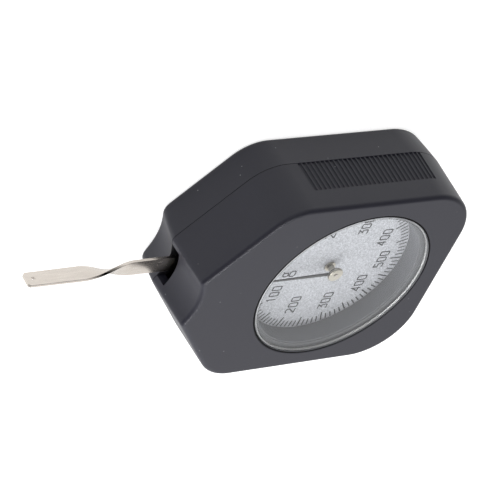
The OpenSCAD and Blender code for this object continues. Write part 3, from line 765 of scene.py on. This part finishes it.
def rear_cover():
    """Rear cover: rings from the lip and seam down the drafted wall to the back face, and its inner floor."""
    skin = Skin()
    lip_in = WALL + LIP_GAP + LIP_T
    y = plan_reach(turns, WALL) * np.sin(turns)
    lip_z = SEAM_Z + np.where(y < PIVOT_Y, LIP_H, 0)

    def draft(z):
        """Inset of the drafted wall at a height."""
        return (SEAM_Z - z) * np.tan(REAR_DRAFT)

    def flare(z):
        """Growth of the scoop's radius at a height."""
        return SCOOP_FLARE * (SEAM_Z - z) / SEAM_Z

    inside = [
        column_ring(skin, WALL, draft(WALL) + lip_in, flare(WALL)),
        column_ring(skin, SEAM_Z, lip_in),
        column_ring(skin, lip_z, lip_in),
        column_ring(skin, lip_z, WALL + LIP_GAP),
        column_ring(skin, SEAM_Z, WALL + LIP_GAP),
    ]
    outside = [
        column_ring(skin, SEAM_Z, SEAM_GROOVE),
        column_ring(skin, SEAM_Z - SEAM_GROOVE, draft(SEAM_Z - SEAM_GROOVE)),
        column_ring(skin, SEAM_Z / 2, draft(SEAM_Z / 2), flare(SEAM_Z / 2)),
    ]
    for a in np.linspace(0, np.pi / 2, EDGE_STEPS):
        z = EDGE_R * (1 - np.sin(a))
        outside.append(column_ring(skin, z, draft(0) + EDGE_R * (1 - np.cos(a)), flare(z)))
    outside.append(column_ring(skin, 0, draft(0) + FACE_INSET, flare(0)))
    skin.loft(inside + outside)
    post = [(BOSS_R, WALL), (BOSS_R, SEAM_Z - SKIRT_GAP), (SCREW_HOLE_R, SEAM_Z - SKIRT_GAP)]
    post += [(SCREW_HOLE_R, HEAD_HOLE_Z), (HEAD_HOLE_R, HEAD_HOLE_Z), (HEAD_HOLE_R, 0)]
    posts = [skin.lathe(centre, post) for centre in CASE_BOSSES]
    pilot = [(MOVEMENT_BOSS_R, WALL), (MOVEMENT_BOSS_R, PLATE_Z)]
    pilot += [(MOVEMENT_PILOT_R, PLATE_Z), (MOVEMENT_PILOT_R, MOVEMENT_PILOT_Z)]
    pilots = [skin.lathe(centre, pilot) for centre in MOVEMENT_BOSSES]
    for tube in pilots:
        skin.fill(tube[-1])
    skin.fill(inside[0], *[tube[0] for tube in posts + pilots])
    skin.fill(outside[-1], *[tube[-1] for tube in posts])
    piece = skin.make("rear_cover_skin", finishes["shell"], "case")
    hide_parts("rear_cover")


def strip_section(y, squeeze=0):
    """Points round the strip's section at y: a rectangle with rounded edges, four points to each, turned by
    the twist."""
    share = (y - NOSE_Y) / (TIP_Y - NOSE_Y)
    half_w = (ROOT_W + (TIP_W - ROOT_W) * share) / 2 - squeeze
    half_t = STRIP_T / 2
    a = np.radians(np.array([0, 30, 60, 90]) + np.array([[0], [90], [180], [270]]))
    side = np.array([[1, 1], [-1, 1], [-1, -1], [1, -1]])
    u = side[:, :1] * (half_w - STRIP_EDGE_R) + STRIP_EDGE_R * np.cos(a)
    v = side[:, 1:] * (half_t - STRIP_EDGE_R) + STRIP_EDGE_R * np.sin(a)
    t = np.clip((y - TWIST_START) / TWIST_LEN, 0, 1)
    twist = np.pi / 2 * ((1 - TWIST_EASE) * t + TWIST_EASE * t * t * (3 - 2 * t))
    x = u * np.cos(twist) - v * np.sin(twist)
    z = LEVER_Z + u * np.sin(twist) + v * np.cos(twist)
    return np.stack([x.ravel(), np.full(x.size, y), z.ravel()], axis=-1)


def drilled_span(skin, a, b, holes, across):
    """Span of the strip between rings a and b whose two broad faces are drilled: holes are (y, radius), and
    across gives the ring of points of a hole at one face. The broad faces start at the section's points 3
    and 11."""
    faces = {1: 3, -1: 11}
    quads = np.stack([a, b, np.roll(b, -1), np.roll(a, -1)], axis=1)
    skin.faces += np.delete(quads, list(faces.values()), axis=0).tolist()
    rims = {side: [across(y, radius, side) for y, radius in holes] for side in faces}
    for side, start in faces.items():
        corner = [a[start], b[start], b[start + 1], a[start + 1]]
        skin.fill(np.array(corner), *rims[side])
    for upper, lower in zip(rims[1], rims[-1]):
        skin.bridge(upper, lower)


def lever_arm():
    """Lever: a flat strip drilled for its shaft and rivets, a quarter twist, and an upright tip and eye."""
    skin = Skin()
    twist = np.linspace(TWIST_START, TWIST_START + TWIST_LEN, TWIST_RINGS)
    spans = [(STRIP_START, 0), *[(y, 0) for y in twist], (TIP_Y - TIP_NICK, 0), (TIP_Y, TIP_NICK)]
    rings = [skin.add(strip_section(y, squeeze)) for y, squeeze in spans]
    turn = np.arange(HOLE_COLUMNS) * 2 * np.pi / HOLE_COLUMNS

    def level_hole(y, radius, side):
        """Rim of a hole in the flat part of the strip."""
        return skin.ring(radius * np.cos(turn), y + radius * np.sin(turn), LEVER_Z + side * STRIP_T / 2)

    def upright_hole(y, radius, side):
        """Rim of a hole in the twisted part of the strip."""
        return skin.ring(-side * STRIP_T / 2, y + radius * np.cos(turn), LEVER_Z + radius * np.sin(turn))

    root_holes = [
        (PIVOT_Y - RIVET_OFFSET, RIVET_HOLE_R),
        (PIVOT_Y, SHAFT_HOLE_R),
        (PIVOT_Y + RIVET_OFFSET, RIVET_HOLE_R),
    ]
    drilled_span(skin, rings[0], rings[1], root_holes, level_hole)
    skin.loft(rings[1:-2])
    drilled_span(skin, rings[-3], rings[-2], [(EYE_Y, EYE_R)], upright_hole)
    skin.loft(rings[-2:])
    skin.fill(rings[0])
    skin.fill(rings[-1])
    piece = skin.make("lever_strip", finishes["steel"], "lever")
    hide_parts("lever_arm")


def crystal():
    """Crystal: a turned disc with a bevelled front edge, and a back that slopes up to a thin edge."""
    skin = Skin()
    low, high = crystal_low[Z], crystal_high[Z]
    back_edge = [(WELL_R, low), (CRYSTAL_R, high - CRYSTAL_BEVEL - CRYSTAL_EDGE_T)]
    front_edge = [(CRYSTAL_R, high - CRYSTAL_BEVEL), (CRYSTAL_R - CRYSTAL_BEVEL, high)]
    rings = skin.lathe((0, 0), back_edge + front_edge, CRYSTAL_COLUMNS)
    skin.fill(rings[0])
    skin.fill(rings[-1])
    piece = skin.make("crystal_disc", finishes["crystal"], "case", CRYSTAL_SHARP)
    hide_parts("crystal")


def pointer_hub():
    """Pointer hub: a turned stem and a disc with a rounded rim, bored for the arbor."""
    skin = Skin()
    low, high = hub_low[Z], hub_high[Z]
    disc_r = hub_high[X]
    disc_z = blade_high[Z]
    rim = [
        (disc_r - HUB_RIM_R * (1 - np.cos(a)), high - HUB_RIM_R * (1 - np.sin(a)))
        for a in np.linspace(0, np.pi / 2, HUB_RIM_STEPS)
    ]
    stem = [(HUB_BORE_R, low), (HUB_STEM_R, low), (HUB_STEM_R, disc_z)]
    rings = skin.lathe((0, 0), [*stem, (disc_r, disc_z), *rim, (HUB_BORE_R, high)], HUB_COLUMNS)
    skin.bridge(rings[-1], rings[0])
    piece = skin.make("pointer_hub_turned", finishes["nickel"], "pointer")
    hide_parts("pointer_hub")


# Strokes of the scale's figures on a grid six wide and ten high; a closed stroke ends where it starts
GLYPHS = {
    "0": [[(1, 0), (5, 0), (6, 1), (6, 9), (5, 10), (1, 10), (0, 9), (0, 1), (1, 0)]],
    "1": [[(1.6, 8.4), (3.4, 10), (3.4, 0)]],
    "2": [[(0, 8.6), (0, 9), (1, 10), (5, 10), (6, 9), (6, 6.6), (0, 1), (0, 0), (6, 0)]],
    "3": [[(0, 10), (6, 10), (2.6, 6), (5, 6), (6, 5), (6, 1), (5, 0), (1, 0), (0, 1)]],
    "4": [[(4.6, 0), (4.6, 10), (0, 3), (6, 3)]],
    "5": [[(5.6, 10), (0.4, 10), (0.4, 5.8), (5, 5.8), (6, 4.8), (6, 1), (5, 0), (1, 0), (0, 1)]],
    "g": [
        [(1.6, 5.8), (3.6, 5.8), (4.6, 6.8), (4.6, 9), (3.6, 10),
         (1.6, 10), (0.6, 9), (0.6, 6.8), (1.6, 5.8)],
        [(4.2, 9.4), (5.8, 10.2)],
        [(1.6, 5.8), (1.1, 5.1), (1.6, 4.4)],
        [(1.2, 0), (4.8, 0), (6, 1.1), (6, 3.3), (4.8, 4.4), (1.2, 4.4), (0, 3.3), (0, 1.1), (1.2, 0)],
    ],
}
GLYPH_H = 10
GLYPH_ADVANCE = 8.2
GLYPH_W = 6
GLYPH_NARROW = 0.88


def stroke_edges(points, width):
    """Left and right edge of a stroke, mitred at its corners: each point moves along the mean of the two
    neighbouring normals, by half the width over the cosine of half the turn."""
    closed = np.allclose(points[0], points[-1])
    ways = np.diff(points, axis=0)
    ways = ways / np.linalg.norm(ways, axis=1)[:, None]
    sides = np.stack([-ways[:, 1], ways[:, 0]], axis=1)
    before = np.concatenate([sides[-1:] if closed else sides[:1], sides])
    after = np.concatenate([sides, sides[:1] if closed else sides[-1:]])
    mean = before + after
    mitre = width * mean / (mean**2).sum(axis=1)[:, None]
    return points + mitre, points - mitre


def print_stroke(skin, points, width):
    """Prints a stroke on the dial as a thin raised band."""
    left, right = stroke_edges(np.array(points, float), width)
    low, high = DIAL_Z + INK_LIFT, DIAL_Z + INK_LIFT + INK_T
    rings = [
        skin.add(np.column_stack([edge, np.full(len(edge), z)]))
        for edge, z in ((left, low), (left, high), (right, high), (right, low))
    ]
    for a, b in zip(rings, rings[1:] + rings[:1]):
        skin.bridge(a, b, closed=False)
    if not np.allclose(points[0], points[-1]):
        skin.faces += [[int(ring[end]) for ring in rings] for end in (0, -1)]


def print_text(skin, text, centre, height, width):
    """Prints figures side by side, upright, about a centre."""
    scale = height / GLYPH_H
    span = (len(text) - 1) * GLYPH_ADVANCE + GLYPH_W
    for place, letter in enumerate(text):
        middle = place * GLYPH_ADVANCE - (span - GLYPH_W) / 2
        for stroke in GLYPHS[letter]:
            drawn = (np.array(stroke) - [GLYPH_W / 2, GLYPH_H / 2]) * [GLYPH_NARROW, 1] + [middle, 0]
            print_stroke(skin, drawn * scale + centre, width)


def dial_print():
    """Printed scale: a hundred marks that run both ways from 0 to 500, their numbers and the unit."""
    skin = Skin()
    for step in range(SCALE_STEPS):
        inner, width = (MARK_R, MARK_W) if step % LONG_STEPS else (LONG_MARK_R, LONG_MARK_W)
        turn = 2 * np.pi * step / SCALE_STEPS
        way = np.array([np.sin(turn), np.cos(turn)])
        print_stroke(skin, [way * inner, way * SCALE_R], width)
        if step % NUMBER_STEPS == 0:
            value = STEP_VALUE * min(step, SCALE_STEPS - step)
            print_text(skin, str(value), way * NUMBER_RING, NUMBER_H, NUMBER_STROKE)
    print_text(skin, "g", UNIT_AT, UNIT_H, NUMBER_STROKE)
    skin.make("dial_print", printed_ink(), "case")


def seen_directly(sheet):
    """1 for rays from the camera, from mirrors and through glass, and 0 for light that falls on things."""
    kinds = ("Is Camera Ray", "Is Glossy Ray", "Is Transmission Ray")
    camera_ray, glossy_ray, glass_ray = [sheet.add("ShaderNodeLightPath", output=kind) for kind in kinds]
    return camera_ray.math("MAXIMUM", glossy_ray).math("MAXIMUM", glass_ray)


def floor():
    """White floor under the gauge, bright to the camera and in mirrors, that keeps the gauge's shadow."""
    mesh = bpy.data.meshes.new("floor")
    ways = np.array([[-1, -1], [1, -1], [1, 1], [-1, 1]])
    corner = np.column_stack([ways * FLOOR_REACH, np.full(len(ways), FLOOR_Z)])
    mesh.from_pydata((corner * MM).tolist(), [], [(0, 1, 2, 3)])
    material, sheet = new_sheet("white_floor")
    seen = seen_directly(sheet)
    white = sheet.surface({"Base Color": (0.5, 0.5, 0.5, 1), "Roughness": 0.9, "Specular IOR Level": 0.0})
    glow = sheet.add("ShaderNodeEmission", {}, {"Color": (1, 1, 1, 1), "Strength": seen * FLOOR_GLOW})
    lit = sheet.add("ShaderNodeAddShader", {}, (white, glow))
    clear = sheet.add("ShaderNodeBsdfTransparent")
    behind = sheet.add("ShaderNodeNewGeometry", output="Backfacing")
    sheet.output(sheet.add("ShaderNodeMixShader", {}, (behind, lit, clear)))
    mesh.materials.append(material)
    piece = bpy.data.objects.new("floor", mesh)
    bpy.context.scene.collection.objects.link(piece)


def world():
    """White surroundings: dim as a light and white where they are seen, but in mirrors darker in two corners
    and overhead, and brighter behind the gauge."""
    scene_world = bpy.data.worlds.new("surroundings")
    sheet = Sheet(scene_world)
    way = sheet.add("ShaderNodeTexCoord", output="Generated")

    def towards(middle, fade):
        """Share that rises from 0 to 1 as the cosine of the angle to a direction goes through a fade."""
        product = {"operation": "DOT_PRODUCT"}
        cosine = sheet.add("ShaderNodeVectorMath", product, (way, middle), output="Value")
        start, full = fade
        return sheet.ramp(cosine, (start, 0), (full, 1))

    shade = towards(OVERHEAD_WAY, OVERHEAD_FADE) * OVERHEAD_SHARE
    shade = shade - towards(BRIGHT_WAY, BRIGHT_FADE) * BRIGHT_SHARE
    for dark in DARK_WAYS:
        shade = shade + towards(dark, DARK_FADE) * DARK_SHARE
    shade = shade * sheet.add("ShaderNodeLightPath", output="Is Glossy Ray")
    level = WORLD_LIGHT + seen_directly(sheet) * (WORLD_WHITE - WORLD_LIGHT) - shade
    sky = sheet.add("ShaderNodeBackground", {}, {"Color": (1, 1, 1, 1), "Strength": level})
    sheet.add("ShaderNodeOutputWorld", {}, (sky,))
    bpy.context.scene.world = scene_world


def lamps():
    """Soft square lamps, each turned to the middle of the gauge."""
    for name, facts in LAMPS.items():
        data = bpy.data.lights.new(name, "AREA")
        data.size = facts["size"] * MM
        data.energy = facts["watts"]
        lamp = bpy.data.objects.new(name, data)
        place = Vector(facts["at"]) * MM
        lamp.location = place
        lamp.rotation_euler = (Vector(CAMERA_AIM) * MM - place).to_track_quat("-Z", "Y").to_euler()
        lamp.visible_glossy = facts["in_mirrors"]
        lamp.visible_diffuse = not facts["in_mirrors"]
        bpy.context.scene.collection.objects.link(lamp)


def camera():
    """Camera at the photograph's angle: off from the aim point along azimuth and elevation, then rolled."""
    level = np.array([np.cos(CAMERA_AZIMUTH), np.sin(CAMERA_AZIMUTH)])
    back = np.array([*(np.cos(CAMERA_ELEVATION) * level), np.sin(CAMERA_ELEVATION)])
    side = np.array([-np.sin(CAMERA_AZIMUTH), np.cos(CAMERA_AZIMUTH), 0])
    above = np.cross(back, side)
    right = side * np.cos(CAMERA_ROLL) + above * np.sin(CAMERA_ROLL)
    up = np.cross(back, right)
    place = (np.array(CAMERA_AIM) + CAMERA_DISTANCE * back) * MM
    data = bpy.data.cameras.new("photo_camera")
    data.lens = CAMERA_LENS
    data.sensor_width = CAMERA_SENSOR
    data.clip_start = CAMERA_NEAR
    viewer = bpy.data.objects.new("photo_camera", data)
    axes = np.column_stack([right, up, back, place])
    viewer.matrix_world = Matrix([*axes.tolist(), [0, 0, 0, 1]])
    bpy.context.scene.collection.objects.link(viewer)
    bpy.context.scene.camera = viewer


camera()
front_shell()
rear_cover()
lever_arm()
crystal()
pointer_hub()
dial_print()
floor()
world()
lamps()
bpy.context.scene.view_settings.view_transform = "Standard"
